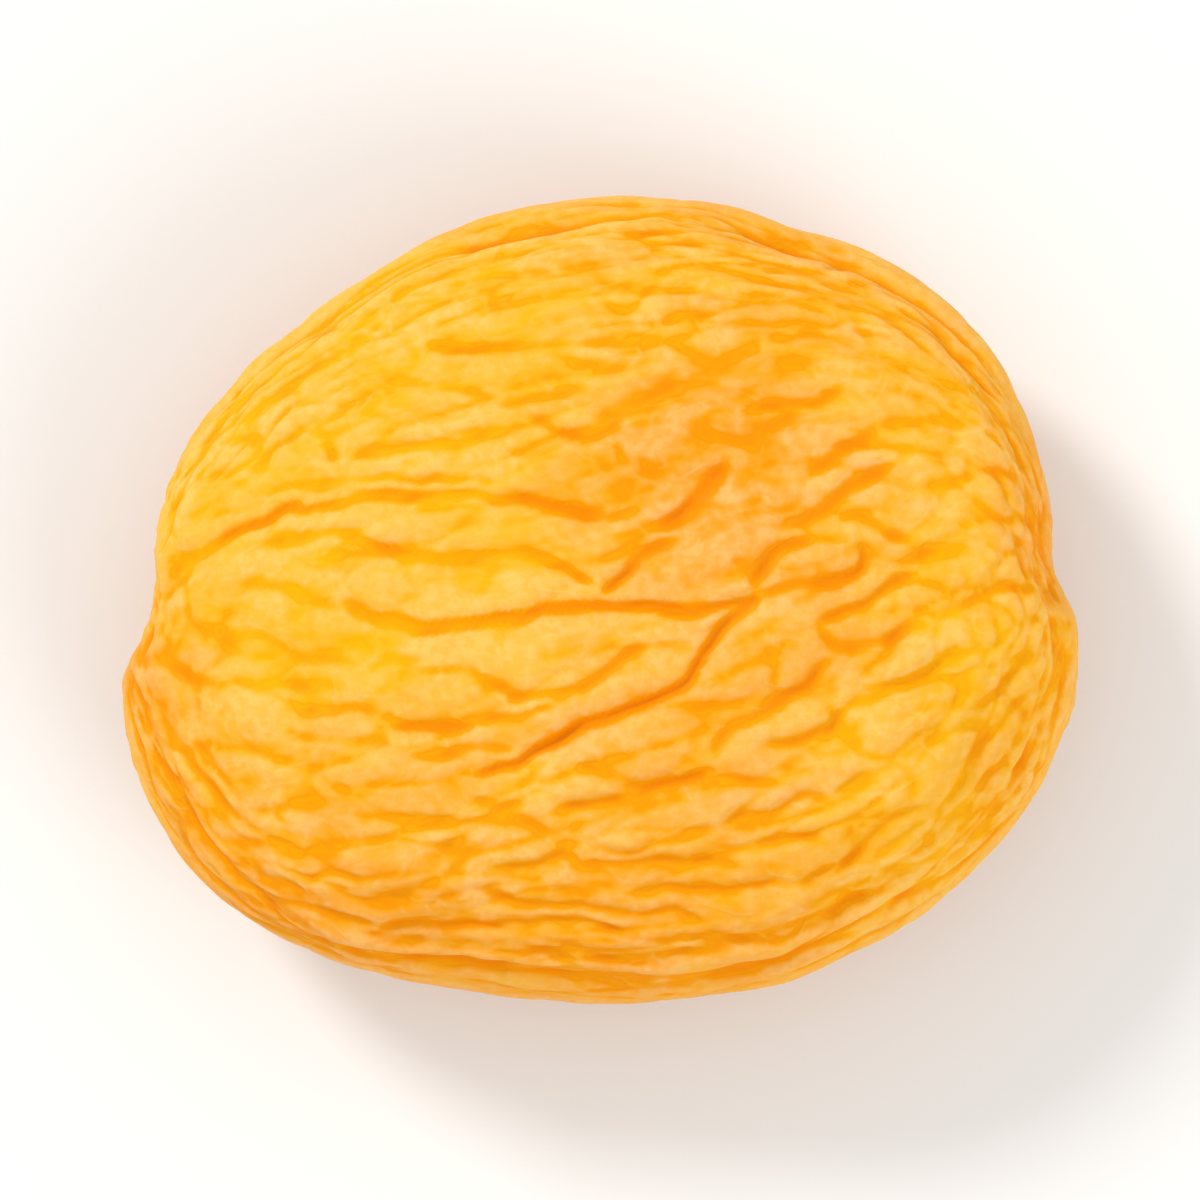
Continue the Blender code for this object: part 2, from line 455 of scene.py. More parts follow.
@dataclass(frozen=True)
class PhotoRuler:
    """Brings creases that were read in the photo to the fruit, with its middle at x, y."""

    x: float = 744.0
    y: float = 639.5
    pixel: float = 0.1905
    path_decimals: int = 1
    depth_power: float = 1.12
    width_share: float = 0.62
    least_width: float = 0.2
    size_decimals: int = 2

    def crease(self, depth: float, width: float, path: PlanPath) -> Crease:
        """One crease on the fruit.

        Args:
            depth: Its depth as it looks, in millimetres.
            width: Half its width as it looks, in millimetres.
            path: The pixels along it, as x, y, x, y and so on.

        Returns:
            The crease, with its path in millimetres from the middle of the fruit.
        """
        across = [round((x - self.x) * self.pixel, self.path_decimals) for x in path[::2]]
        up = [round((self.y - y) * self.pixel, self.path_decimals) for y in path[1::2]]
        plan = tuple(number for pair in zip(across, up) for number in pair)
        cut_depth = round(depth**self.depth_power, self.size_decimals)
        cut_width = round(max(self.least_width, self.width_share * width), self.size_decimals)
        return Crease(cut_depth, cut_width, plan)


@dataclass(frozen=True)
class CreaseFace:
    """The creases of one face, made a little wavy."""

    creases: tuple[Crease, ...]
    depth_share: float = 0.72
    sway: Sway = Sway(1.3, 0.22, 1.0)

    def relief(self, plan: Numbers) -> Numbers:
        """Grooves along every crease.

        Args:
            plan: Points seen from above.

        Returns:
            Height over the smooth body, at or below 0.
        """
        level = np.column_stack((plan, np.zeros(len(plan))))
        wavy = self.sway.moved(level)[:, :2]
        deepest = np.zeros(len(plan))
        for crease in self.creases:
            reached, depth = crease.groove(wavy)
            deepest[reached] = np.maximum(deepest[reached], depth)
        return -self.depth_share * deepest


# Creases of the upper face, read in the photo: depth and half width in millimetres, and the path in
# pixels, as x, y, x, y and so on.
UPPER_READINGS: tuple[CreaseRow, ...] = (
    # The long ones, and those of the right half.
    (0.75, 0.55, (652, 634, 657, 629, 664, 625.5, 672, 622, 676, 619, 682, 619.3, 690, 618, 697, 616.6, 704,
     617, 712, 616, 722, 616.5, 731, 617, 737, 619.5, 744, 621)),
    (0.5, 0.42, (672, 617, 675, 615.5, 680, 614, 686, 613, 693, 613, 698, 611.8, 703, 614, 710, 613, 717,
     613, 723, 614)),
    (0.62, 0.5, (672, 627, 680, 626, 688, 625, 694, 627, 699, 628.5, 706, 629.5, 713, 630, 722, 629, 729,
     628.5, 735, 631, 739, 633.5, 743, 635.5)),
    (0.95, 0.55, (690, 640, 694, 642.6, 700, 643.6, 706, 644.5, 713, 645, 720, 643.2, 726, 642.6, 731, 641,
     737, 640, 743, 640.3, 750, 640.6, 755, 640.2, 760, 641.6, 766, 641, 771, 640.2, 777, 638.8)),
    (0.95, 0.5, (779, 637.5, 775, 641, 771, 645, 768, 648.5, 766, 652, 764, 655, 761, 658, 757.5, 660, 753,
     661.3, 748, 663.2, 744, 665, 738, 667.3, 733, 670, 728, 673, 723, 675.5, 717, 676.5)),
    (0.75, 0.5, (777, 637.5, 778, 634.5, 780, 631, 782, 628.3, 785, 627, 789, 626)),
    (0.7, 0.5, (777, 638, 784, 636, 790, 635.2, 796, 635, 800, 633, 802.3, 630.2, 801, 627.5)),
    (0.75, 0.45, (745, 638.5, 747, 635.3, 750, 633, 753, 630, 757, 627.2, 761, 625.7)),
    (0.9, 0.95, (757, 623, 761, 620.5, 765, 617, 768, 613, 771.5, 609.5)),
    (0.55, 1.4, (764, 600, 769, 605, 776, 604.5, 783, 600.5, 788, 597.5)),
    (0.5, 1.15, (743, 601, 749, 597.5, 755, 594.5, 762, 592.5)),
    (0.45, 1.05, (760, 584, 766, 587, 773, 587, 778, 584)),
    (0.6, 0.5, (731, 600, 734, 602.3, 738, 604, 742, 603.5, 746, 602, 749, 599.5)),
    (0.65, 0.5, (769, 671.5, 770, 668, 774, 665.5, 779, 664, 783, 661, 788, 658.6, 791, 655.5, 793.5,
     652.5)),
    (0.45, 0.4, (781, 650.5, 782.3, 653.5, 781, 657, 783, 660)),
    (0.7, 0.5, (792, 644.5, 796, 641.5, 801, 640, 806, 636.6, 811, 634, 814, 632)),
    (0.5, 1, (808, 631, 813, 630.5, 818, 628.5, 823, 626)),
    (0.55, 0.6, (792, 645.5, 794, 649, 799, 650, 804, 648, 808, 646.2, 815, 643.3)),
    (0.6, 0.6, (800, 661, 805, 658.8, 810, 657, 814, 654.5, 818, 652, 825, 650.5)),
    (0.55, 0.85, (783, 622.5, 788, 622.3, 793, 619.5, 797, 616, 801, 613.5, 805, 611, 809, 609)),
    (0.5, 0.8, (789, 612.5, 793, 609.5, 797, 606.5, 801, 603, 804, 601)),
    (0.35, 0.4, (804, 601, 810, 600.3, 816, 600, 821, 600.5)),
    (0.45, 0.45, (795, 622.3, 800, 620.2, 804, 622, 808, 625, 812, 626.5)),
    (0.55, 0.55, (776, 598.5, 782, 597, 787, 595.8, 792, 596, 796, 594)),
    (0.55, 0.85, (741, 675.3, 746, 677.5, 751, 679.2, 757, 679, 763, 677.8, 768, 676.3)),
    (0.45, 0.45, (768, 677, 774, 678, 781, 678.3)),
    (0.55, 0.5, (718, 655.5, 724, 658.3, 728, 659.6, 733, 659.2, 739, 659.2, 743, 657, 746, 654.3, 750,
     650.5, 754, 648.3)),
    (0.35, 0.4, (754, 648.3, 759, 648, 765, 648.2)),
    (0.4, 0.4, (719, 665.5, 724, 664, 730, 662.6, 735, 661.5)),
    (0.45, 0.4, (705, 654, 710, 653.4, 716, 654, 720, 656.3)),
    (0.3, 0.38, (695, 653.5, 699, 651.3, 703, 651, 707, 650)),
    (0.3, 0.38, (710, 649.5, 714, 648, 721, 645.6)),
    (0.55, 0.5, (700, 665.6, 706, 667, 712, 667.2, 716, 666)),
    (0.5, 0.48, (703, 672.8, 710, 672.2, 716, 671, 722, 671, 728, 671.6)),
    (0.45, 0.45, (755, 662.6, 760, 662.2, 766, 662.3, 772, 661.6, 778, 660)),
    (0.55, 0.5, (736, 684, 740, 683.8, 744, 682.6, 748, 682, 750, 680.5)),
    (0.35, 0.4, (716, 680.5, 719, 682.5, 723, 684, 727, 683.6)),
    (0.35, 0.6, (726, 685.5, 729, 688, 733, 689.3)),
    (0.5, 0.5, (722, 697, 728, 696.3, 733, 695.6, 736, 694.2, 740, 696, 745, 697, 750, 695.5, 757, 695, 763,
     696.3)),
    (0.45, 0.5, (741, 692, 746, 694, 752, 693.3, 759, 691.3, 766, 689.8)),
    (0.5, 0.5, (752, 702.3, 757, 701.5, 763, 702.2, 768, 703, 775, 701.3, 783, 700.6)),
    (0.55, 0.5, (719, 702, 724, 704.6, 730, 706.2, 737, 706, 743, 706, 748, 708, 755, 707.8, 761, 706.6,
     765, 708.6)),
    (0.6, 0.5, (696, 708.6, 703, 709.2, 712, 709.6, 720, 710, 728, 710, 736, 709.8, 742, 710, 749, 711.6)),
    (0.5, 0.45, (756, 713, 763, 712.4, 771, 713, 779, 713.2, 785, 712.2, 790, 710.3, 797, 706.4, 803,
     703.6)),
    (0.55, 0.65, (773, 687, 778, 686, 783, 684, 788, 682, 793, 680.8)),
    (0.4, 0.45, (793, 680.8, 798, 678.3, 803, 676.2)),
    (0.5, 0.6, (779, 691, 785, 690.6, 792, 691)),
    (0.45, 0.4, (778, 671.3, 784, 669.8, 790, 668.5, 795, 667, 796.5, 664.3, 794, 661.8)),
    (0.45, 0.42, (795, 699, 799, 694.6, 803, 690.6, 808, 687, 813, 684.6)),
    (0.35, 0.4, (789, 700.5, 792, 697.6, 796, 696.6)),
    (0.35, 0.4, (762, 696.3, 769, 696, 775, 698)),
    # The fan at the stem end.
    (0.35, 0.5, (667, 636, 673, 636, 679, 637, 684, 639, 690, 641)),
    (0.3, 0.45, (659, 623, 665, 620, 671, 617.4, 675, 615.5)),
    (0.3, 0.45, (663, 646.5, 670, 647, 676, 648, 679, 651, 685, 652, 691, 651.4)),
    (0.4, 0.6, (651, 654, 656, 655.7, 662, 656.6)),
    (0.3, 0.45, (665, 656, 671, 658.2, 677, 657, 684, 657.3, 690, 658.6)),
    (0.4, 0.38, (675, 657, 679, 656.6, 684, 657.2)),
    (0.35, 0.42, (674, 659.3, 680, 662, 686, 663.6, 691, 661.7, 697, 663, 702, 666)),
    (0.35, 0.42, (676, 667, 683, 667.7, 691, 669.6, 698, 669.3)),
    (0.25, 0.42, (664, 668.5, 671, 670.7, 678, 671.3)),
    (0.3, 0.42, (684, 602, 685.3, 605.6, 687, 608.6)),
    (0.5, 0.4, (685.6, 606.5, 687, 608.3)),
    (0.3, 0.42, (664, 611, 668, 609.4, 673, 608.2)),
    (0.5, 0.48, (692, 608.4, 698, 606.2, 705, 606, 711, 606.2, 716, 604.3, 722, 602.6)),
    (0.45, 0.42, (709, 584.4, 715, 586, 720, 584.3, 728, 584.2)),
    (0.3, 0.42, (700, 591.6, 706, 592.6, 711, 594.4, 716, 595, 721, 596)),
    (0.5, 0.55, (723, 597.4, 728, 595.6, 734, 594.4, 740, 594)),
    (0.4, 0.38, (745.5, 576, 748, 577.3, 752, 576.4, 755, 573)),
    (0.3, 0.42, (734, 567.3, 741, 568.3, 746, 566.4)),
    (0.45, 0.42, (748, 561.4, 755, 561, 761, 561, 766, 562.6)),
    (0.3, 0.42, (723, 564, 730, 564)),
    (0.25, 0.42, (701, 582, 706, 578, 713, 575.4)),
    (0.25, 0.42, (711, 572, 718, 570, 727, 568.6, 735, 568)),
    (0.35, 0.5, (741, 584, 748, 583.6, 755, 581.7, 760, 580)),
    (0.35, 0.6, (734, 585.5, 742, 588, 749, 588.6)),
    (0.3, 0.4, (747, 603.6, 748, 607, 750, 610)),
    (0.4, 0.4, (753, 608.6, 755.5, 612.6, 759, 611.3)),
    (0.35, 0.42, (744, 623, 747, 621, 751, 619.6)),
    (0.3, 0.45, (779, 569.3, 786, 567, 791, 569)),
    (0.4, 0.38, (793, 567.3, 797, 566.2)),
    (0.3, 0.4, (800, 580, 802, 582.6)),
    (0.3, 0.42, (783, 588.3, 789, 587.6)),
    (0.3, 0.45, (779, 583, 787, 582, 794, 579.6)),
    (0.3, 0.42, (816, 613.6, 822, 613.2, 828, 611.3, 833, 612.6)),
    (0.4, 0.38, (795, 639.6, 799, 637)),
    (0.35, 0.42, (811, 640.3, 816, 642, 821, 641.3, 826, 638.6, 831, 637)),
    (0.3, 0.42, (808, 672, 813, 671, 818, 668.3)),
    (0.3, 0.42, (806, 664, 812, 663, 817, 660.4)),
    (0.4, 0.45, (757, 582, 762, 577, 768, 577.6)),
    # At the lower left and the bottom.
    (0.45, 0.6, (686, 700, 691, 702.3, 697, 703.2, 703, 702)),
    (0.35, 0.42, (680, 698.6, 688, 697, 695, 698.3, 702, 697)),
    (0.45, 0.42, (684, 705, 691, 707.3, 697, 709)),
    (0.4, 0.42, (694, 710.3, 701, 712.6, 707, 713)),
    (0.5, 0.42, (688, 713.4, 697, 717, 706, 718.4, 715, 719.4, 724, 720)),
    (0.35, 0.42, (709, 713.6, 716, 714.6, 724, 713.4)),
    (0.4, 0.42, (727, 714.6, 733, 717, 738, 719.4)),
    (0.4, 0.42, (742, 718.4, 750, 717, 758, 716.2, 766, 716.2)),
    (0.3, 0.42, (671, 684.3, 679, 682.6, 688, 682)),
    (0.3, 0.5, (694, 685.4, 703, 685.2, 712, 686.4)),
    (0.3, 0.42, (709, 693, 713, 691.6, 716, 689)),
    (0.25, 0.42, (666, 690.6, 673, 691, 680, 692.6)),
    (0.25, 0.42, (674, 697, 679, 700, 681, 705)),
    # Along the rim.
    (0.45, 0.3, (650, 630, 650.3, 623, 652, 618, 655, 611.3, 658, 606, 662, 601, 667, 594.6, 677, 586.6,
     688, 578)),
    (0.4, 0.3, (688, 578, 698, 570.4, 708, 565.3, 715, 562, 722, 559.6, 731, 557.2, 741, 556)),
    (0.35, 0.3, (700, 575, 709, 569.6, 718, 566, 727, 562.6)),
    (0.5, 0.3, (758, 556.6, 766, 558.6, 773, 559.8, 782, 561.4, 790, 563.6)),
    (0.4, 0.3, (795, 560.6, 803, 563.3, 810, 567.3, 818, 573.6, 826, 581.6)),
    (0.45, 0.3, (797, 570, 804, 571.3, 810, 574.6, 816, 578.6, 821, 583, 827, 588.6, 833, 595.6)),
    (0.5, 0.28, (829, 580, 834, 586, 838, 594, 840.6, 601, 842.3, 608, 842.6, 615, 841.3, 622, 841.5, 627,
     844, 633, 846, 640)),
    (0.35, 0.28, (834, 597, 837.6, 604, 839.3, 611, 841, 617)),
    (0.4, 0.28, (843, 643, 845.5, 650, 846, 657, 844, 664, 841, 671, 836, 678.6)),
    (0.3, 0.28, (840, 641, 842.3, 648, 842.6, 655, 840.5, 662, 836.6, 669, 831, 676, 825, 682.6)),
    (0.3, 0.28, (838, 651, 833, 656.6, 827, 662.3)),
    (0.3, 0.28, (839, 657.5, 834, 664, 828.6, 670, 824, 675.3)),
    (0.3, 0.28, (831, 683, 825, 689, 818, 695, 811, 699.6, 804, 703.6)),
    (0.3, 0.28, (824, 683.6, 819, 689.4, 813, 694.6)),
    (0.35, 0.28, (818, 700.6, 811, 704.5, 803, 708.2, 794, 711.3, 785, 714.6)),
    (0.55, 0.32, (645.5, 630, 647, 636, 648, 641, 646.6, 647, 643.6, 653)),
    (0.5, 0.3, (641.6, 655, 643.6, 661.6, 647, 669, 650.6, 676, 655, 684, 660, 691.6, 666, 699, 673, 706,
     680.6, 712.3)),
    (0.4, 0.28, (646, 668, 649, 676, 653, 684)),
    (0.4, 0.28, (652.6, 671, 657, 675.3, 661, 679.6, 665.6, 685.3)),
    (0.35, 0.28, (652, 681, 656.6, 687.6, 661.6, 694, 667, 699.3)),
    (0.35, 0.28, (650, 684, 656, 692, 662.3, 698.6, 669, 704.6, 676, 709.6, 683, 714, 691, 717.6)),
    (0.3, 0.28, (657, 669.6, 661, 674.4, 666, 679.6)),
)

# Creases of the hidden belly, which are guessed: depth, width and path, all in millimetres.
LOWER_CREASES: tuple[CreaseRow, ...] = (
    (0.7, 0.9, (-16.5, -1, -10, -3.2, -3, -3.4, 3, -5.6)),
    (0.6, 0.8, (-9, 6.4, -3, 7.8, 4, 7, 10, 4.2)),
    (0.7, 0.85, (7, 0.6, 11.5, -1.4, 16.5, -0.6)),
    (0.5, 0.8, (-13, 3.4, -8, 2.4, -6.2, 0.4)),
    (0.5, 0.8, (0, -10.4, 6, -10, 11, -6.6)),
)


@dataclass(frozen=True)
class SkinPoints:
    """The points of the skin, in the measures that its folds and its finish need.

    The directions are unit directions from the middle, and body holds the points on the smooth body. The
    angles along (from the stem end) and around (from the +Y edge) are in radians. Flow holds the places in
    the rows of pads, scaled so that one pad is about 1 by 1.
    """

    directions: Numbers
    body: Numbers
    along: Numbers
    around: Numbers
    flow: Numbers

    @property
    def rise(self) -> Numbers:
        """How far each direction points up."""
        return self.directions[:, 2]

    @property
    def plan(self) -> Numbers:
        """The points on the smooth body, seen from above."""
        return self.body[:, :2]


@dataclass(frozen=True)
class SkinFlow:
    """The direction that the rows of pads run in: from end to end, leaning across both faces."""

    pads_along: float = 7.0
    pads_round: float = 33.0
    row_lean: float = 26.0
    lean_start: Span = (0.7, 2.5)

    def places(self, along: Numbers, around: Numbers) -> Numbers:
        """Places in the rows of pads.

        Args:
            along: Angles from the stem end, in radians.
            around: Angles round the fruit from the +Y edge, in radians.

        Returns:
            One row of three numbers for each point.
        """
        lean = math.radians(self.row_lean) * ramp(along, *self.lean_start) * np.sin(around) ** 2
        ring = self.pads_round / math.tau * np.sqrt(np.sin(along))
        down_rows = along * self.pads_along / math.pi
        return np.column_stack((down_rows, ring * np.cos(around + lean), ring * np.sin(around + lean)))


@dataclass(frozen=True)
class Pads:
    """Low pads in rows, with creases between them: wide ones, and smaller ones on top of them."""

    height: float = 0.46
    softness: float = 0.24
    upper_share: float = 0.40
    lower_share: float = 0.70
    edge_share: float = 0.30
    sway: Sway = Sway(0.8, 0.24, 3.0)
    small_height: float = 0.26
    small_softness: float = 0.38
    small_scale: tuple[float, float, float] = (1.5, 1.9, 1.9)
    small_edge_share: float = 0.55
    small_sway: Sway = Sway(0.9, 0.45, 5.0)
    small_least: float = 0.25
    patch_size: float = 1.2
    patch_seed: float = 5.0
    patch_edge: Span = (-0.30, 0.30)
    face_start: Span = (0.15, 0.50)
    upper_start: Span = (-0.2, 0.4)
    end_fade: Span = (0.02, 0.40)

    def relief(self, skin: SkinPoints) -> Numbers:
        """Height of the pads.

        Args:
            skin: The points of the skin.

        Returns:
            Height over the smooth body.
        """
        wide = 1.0 - np.exp(-cell_edges(self.sway.moved(skin.flow)) / self.softness)
        places = self.small_sway.moved(skin.flow * np.asarray(self.small_scale))
        small = 1.0 - np.exp(-cell_edges(places) / self.small_softness)
        patches = ramp(soft_noise(skin.flow, self.patch_size, self.patch_seed), *self.patch_edge)
        presence = self.small_least + (1.0 - self.small_least) * patches
        face = ramp(np.abs(np.sin(skin.around)), *self.face_start)
        upper = ramp(np.sin(skin.around), *self.upper_start)
        share = self.lower_share + (self.upper_share - self.lower_share) * upper
        wide *= self.height * (self.edge_share + (share - self.edge_share) * face)
        small *= self.small_height * (self.small_edge_share + (1.0 - self.small_edge_share) * face)
        return (wide + small * presence) * ramp(np.sin(skin.along), *self.end_fade)


@dataclass(frozen=True)
class Dents:
    """Broad dents and swellings, by size and depth, which are shallower along the edge."""

    steps: tuple[Span, ...] = ((11.0, 0.55), (5.0, 0.28))
    edge_share: float = 0.4
    face_start: Span = (0.10, 0.45)

    def relief(self, skin: SkinPoints) -> Numbers:
        """Height of the dents over the smooth body, at each point of the skin."""
        share = self.edge_share + (1.0 - self.edge_share) * ramp(np.abs(skin.rise), *self.face_start)
        return share * sum(depth * soft_noise(skin.body, size) for size, depth in self.steps)


@dataclass(frozen=True)
class EdgeFolds:
    """Folds that run along the edge: angle from the +Y edge, depth, width and sway, the angles in degrees.

    The first two are the seam: a wide valley with a sharp fold along its bottom.
    """

    folds: tuple[tuple[float, float, float, float], ...] = (
        (20.0, 0.55, 8.0, 3.0),
        (20.0, 0.30, 2.5, 3.0),
        (-3.0, 0.22, 3.5, 6.0),
        (-26.0, 0.28, 5.0, 7.0),
        (158.0, 0.26, 3.5, 5.0),
        (172.0, 0.22, 3.5, 6.0),
        (193.0, 0.28, 4.5, 6.0),
    )
    seed_step: float = 7.0
    drifts_along: float = 2.2
    drift_seed: float = 0.5
    drift_share: float = 1.5
    fades_along: float = 3.1
    fade_seed: float = 5.5
    mean_strength: float = 0.75
    end_fade: Span = (0.05, 0.35)

    def along_noise(self, along: Numbers, waves: float, order: int, seed: float) -> Numbers:
        """Soft noise that changes only along the fruit.

        Args:
            along: Angles from the stem end, in radians.
            waves: How often it swells and sinks in a radian.
            order: The order of the fold.
            seed: Shifts the noise, so that two uses of it differ.

        Returns:
            A value between about -0.7 and 0.7 at each angle.
        """
        rows = np.linspace(0.0, math.pi, 400)
        values = [noise.noise(Vector((waves * row, self.seed_step * order, seed))) for row in rows]
        return np.interp(along, rows, np.array(values))

    def relief(self, skin: SkinPoints) -> Numbers:
        """Depth of the folds.

        Args:
            skin: The points of the skin.

        Returns:
            Height over the smooth body, at or below 0.
        """
        relief = np.zeros(len(skin.along))
        angles = np.degrees(skin.around)
        for order, (place, depth, width, sway) in enumerate(self.folds):
            drift = self.along_noise(skin.along, self.drifts_along, order, self.drift_seed)
            fade = self.along_noise(skin.along, self.fades_along, order, self.fade_seed)
            turn = turn_from(angles, place + self.drift_share * sway * drift)
            strength = self.mean_strength + fade
            relief -= depth * strength * bell(turn, width) * ramp(np.sin(skin.along), *self.end_fade)
        return relief


@dataclass(frozen=True)
class RimRings:
    """Thin folds that run all round the upper rim: height on the unit sphere, depth, width and sway."""

    rings: tuple[tuple[float, float, float, float], ...] = (
        (0.22, 0.15, 0.045, 0.06),
        (0.37, 0.24, 0.060, 0.10),
        (0.53, 0.16, 0.045, 0.10),
    )
    drift_size: float = 9.0
    drift_seed: float = 4.0
    fade_seed: float = 14.0
    mean_strength: float = 0.7

    def relief(self, skin: SkinPoints) -> Numbers:
        """Depth of the folds.

        Args:
            skin: The points of the skin.

        Returns:
            Height over the smooth body, at or below 0.
        """
        relief = np.zeros(len(skin.rise))
        for order, (place, depth, width, sway) in enumerate(self.rings):
            drift = soft_noise(skin.body, self.drift_size, self.drift_seed + order)
            strength = self.mean_strength + soft_noise(skin.body, self.drift_size, self.fade_seed + order)
            relief -= depth * strength * bell(skin.rise - place - sway * drift, width)
        return relief


@dataclass(frozen=True)
class FineWrinkles:
    """Thin wrinkles that follow the rows, and thinner ones along the edge."""

    height: float = 0.12
    scale: tuple[float, float, float] = (2.2, 2.4, 2.4)
    sway: Sway = Sway(1.6, 0.60, 2.0)
    edge_height: float = 0.13
    edge_waves: float = 34.0
    edge_length: float = 3.2
    edge_sway: Sway = Sway(1.5, 0.3, 8.0)
    face_start: Span = (0.15, 0.45)
    end_fade: Span = (0.02, 0.30)

    def relief(self, skin: SkinPoints) -> Numbers:
        """Height of the thin wrinkles.

        Args:
            skin: The points of the skin.

        Returns:
            Height over the smooth body, at or below 0.
        """
        streaks = streak_noise(self.sway.moved(skin.flow * np.asarray(self.scale)))
        ring = self.edge_waves / math.tau
        across, up = ring * np.cos(skin.around), ring * np.sin(skin.around)
        rim = np.column_stack((self.edge_length * skin.along, across, up))
        rim_streaks = streak_noise(self.edge_sway.moved(rim))
        edge = 1.0 - ramp(np.abs(np.sin(skin.around)), *self.face_start)
        ends = ramp(np.sin(skin.along), *self.end_fade)
        return -(self.height * streaks * (1.0 - edge) + self.edge_height * rim_streaks * edge) * ends


@dataclass(frozen=True)
class RestSpot:
    """The flat spot that the fruit lies on."""

    swell: float = 0.55
    press: float = 0.35
    reach: Span = (4.0, 9.0)
    belly_start: Span = (0.2, 0.5)

    def settle(self, relief: Numbers, skin: SkinPoints) -> Numbers:
        """Fades the folds out to an even swelling on the belly.

        Args:
            relief: Height of the skin over the smooth body.
            skin: The points of the skin.

        Returns:
            The new height.
        """
        belly = ramp(-skin.rise, *self.belly_start)
        spot = belly * (1.0 - ramp(np.linalg.norm(skin.plan, axis=1), *self.reach))
        return relief * (1.0 - spot) + self.swell * spot

    def press_flat(self, points: Numbers) -> Numbers:
        """Presses the lowest part of the belly level.

        Args:
            points: Points of the skin.

        Returns:
            The points, none of them under the flat spot.
        """
        pressed = points.copy()
        pressed[:, 2] = np.maximum(pressed[:, 2], pressed[:, 2].min() + self.press)
        return pressed


@dataclass(frozen=True)
class WarmthAndShadingPatch:
    """A round patch of the upper face that is more orange, or more yellow where its strength is below 0;
    many paint light and shade.
    """

    centre: Span
    reach: float
    strength: float

    def warmth_and_shading(self, plan: Numbers) -> Numbers:
        """How much the patch warms each point, seen from above: its strength times a smooth bump."""
        distance = np.linalg.norm(plan - np.asarray(self.centre), axis=1)
        return self.strength * bell(distance, self.reach)


@dataclass(frozen=True)
class SkinMarks:
    """The measures that the finish reads, some of them to paint shade in the hollows and highlights on the
    ridges and rim.

    A row of reliefs says how often the relief is smoothed before what it loses is measured, the share of
    that size in the whole, and its usual depth.
    """

    reliefs: tuple[tuple[int, float, float], ...] = ((6, 0.30, 0.045), (30, 0.40, 0.13), (240, 0.30, 0.25))
    band_place: float = 0.25
    band_width: float = 0.25
    band_gain: float = 0.5
    # Painted highlight: a pale line along the rim, near the outline seen from above.
    rim_place: float = 0.05
    rim_width: float = 0.11
    rim_highlight: float = 0.70
    # Painted shade: how strongly sunken skin is turned to deep orange, and over which depths.
    most_hollow: float = 0.9
    hollow_depths: Span = (0.10, 1.40)
    # Painted highlight, partly the skin's paler tone: how strongly raised skin is made pale.
    mean_ridge: float = 0.45
    ridge_gain: float = 0.40
    mean_warmth: float = 0.45
    drift_size: float = 6.0
    drift_seed: float = 9.0
    warmth_drift: float = 0.22
    belly_warmth: float = 0.15
    upper_start: Span = (-0.25, 0.15)
    # Painted light and shade: the two yellow patches at the left and upper left paint the light that falls
    # there. The orange ones at the lower left and the bottom paint the shade of the lower edges, and the two
    # orange ones right of the middle paint the shade of a sunken part. The rest are the skin's own tone.
    patches: tuple[WarmthAndShadingPatch, ...] = (
        WarmthAndShadingPatch((-11.0, 1.0), 8.0, -0.45),
        WarmthAndShadingPatch((-9.0, 9.0), 7.0, -0.25),
        WarmthAndShadingPatch((5.0, 7.2), 3.8, 0.55),
        WarmthAndShadingPatch((4.0, 2.5), 4.5, 0.40),
        WarmthAndShadingPatch((7.5, -3.0), 6.0, 0.15),
        WarmthAndShadingPatch((-12.0, -12.0), 7.0, 0.40),
        WarmthAndShadingPatch((0.0, -15.0), 6.0, 0.35),
        WarmthAndShadingPatch((14.0, -4.0), 6.0, -0.25),
        WarmthAndShadingPatch((-19.5, -2.0), 3.0, 0.55),
        WarmthAndShadingPatch((19.5, 3.0), 3.0, 0.45),
    )

    def height(self, net: SkinNet, relief: Numbers, skin: SkinPoints) -> Numbers:
        """How far each point stands out from the skin round it, with a painted highlight raised along the
        rim.

        Args:
            net: The net of the skin.
            relief: Height of the skin over the smooth body.
            skin: The points of the skin.

        Returns:
            A height that is between -1 and 1 on most of the skin.
        """
        height = np.zeros(len(relief))
        for passes, share, depth in self.reliefs:
            height += share * (relief - net.smoothed(relief, passes)) / depth
        height *= 1.0 + self.band_gain * bell(skin.rise - self.band_place, self.band_width)
        return height + self.rim_highlight * bell(skin.rise - self.rim_place, self.rim_width)

    def warmth_and_shading(self, skin: SkinPoints) -> Numbers:
        """How orange each point is, with painted light and shade from some patches.

        Args:
            skin: The points of the skin.

        Returns:
            Near 0 where the skin is yellow, and near 1 where it is orange.
        """
        upper = ramp(skin.rise, *self.upper_start)
        drift = soft_noise(skin.body, self.drift_size, self.drift_seed)
        warmth_and_shading = self.mean_warmth + self.warmth_drift * drift + self.belly_warmth * (1.0 - upper)
        return warmth_and_shading + upper * sum(patch.warmth_and_shading(skin.plan) for patch in self.patches)

    def write(self, mesh: bpy.types.Mesh, net: SkinNet, relief: Numbers, skin: SkinPoints) -> None:
        """Writes the measures to the mesh.

        Args:
            mesh: The skin's mesh.
            net: The net of the skin.
            relief: Height of the skin over the smooth body.
            skin: The points of the skin.
        """
        height = self.height(net, relief, skin)
        values = {
            Mark.HOLLOW_SHADE: self.most_hollow * ramp(-height, *self.hollow_depths),
            Mark.RIDGE_HIGHLIGHT: np.clip(self.mean_ridge + self.ridge_gain * height, 0.0, 1.0),
            Mark.WARMTH_AND_SHADING: np.clip(self.warmth_and_shading(skin), 0.0, 1.0),
        }
        for mark, numbers in values.items():
            layer = mesh.attributes.new(mark.value, "FLOAT", "POINT")
            layer.data.foreach_set("value", numbers.astype(np.float32))
        layer = mesh.attributes.new(Mark.FLOW.value, "FLOAT_VECTOR", "POINT")
        layer.data.foreach_set("vector", skin.flow.astype(np.float32).ravel())


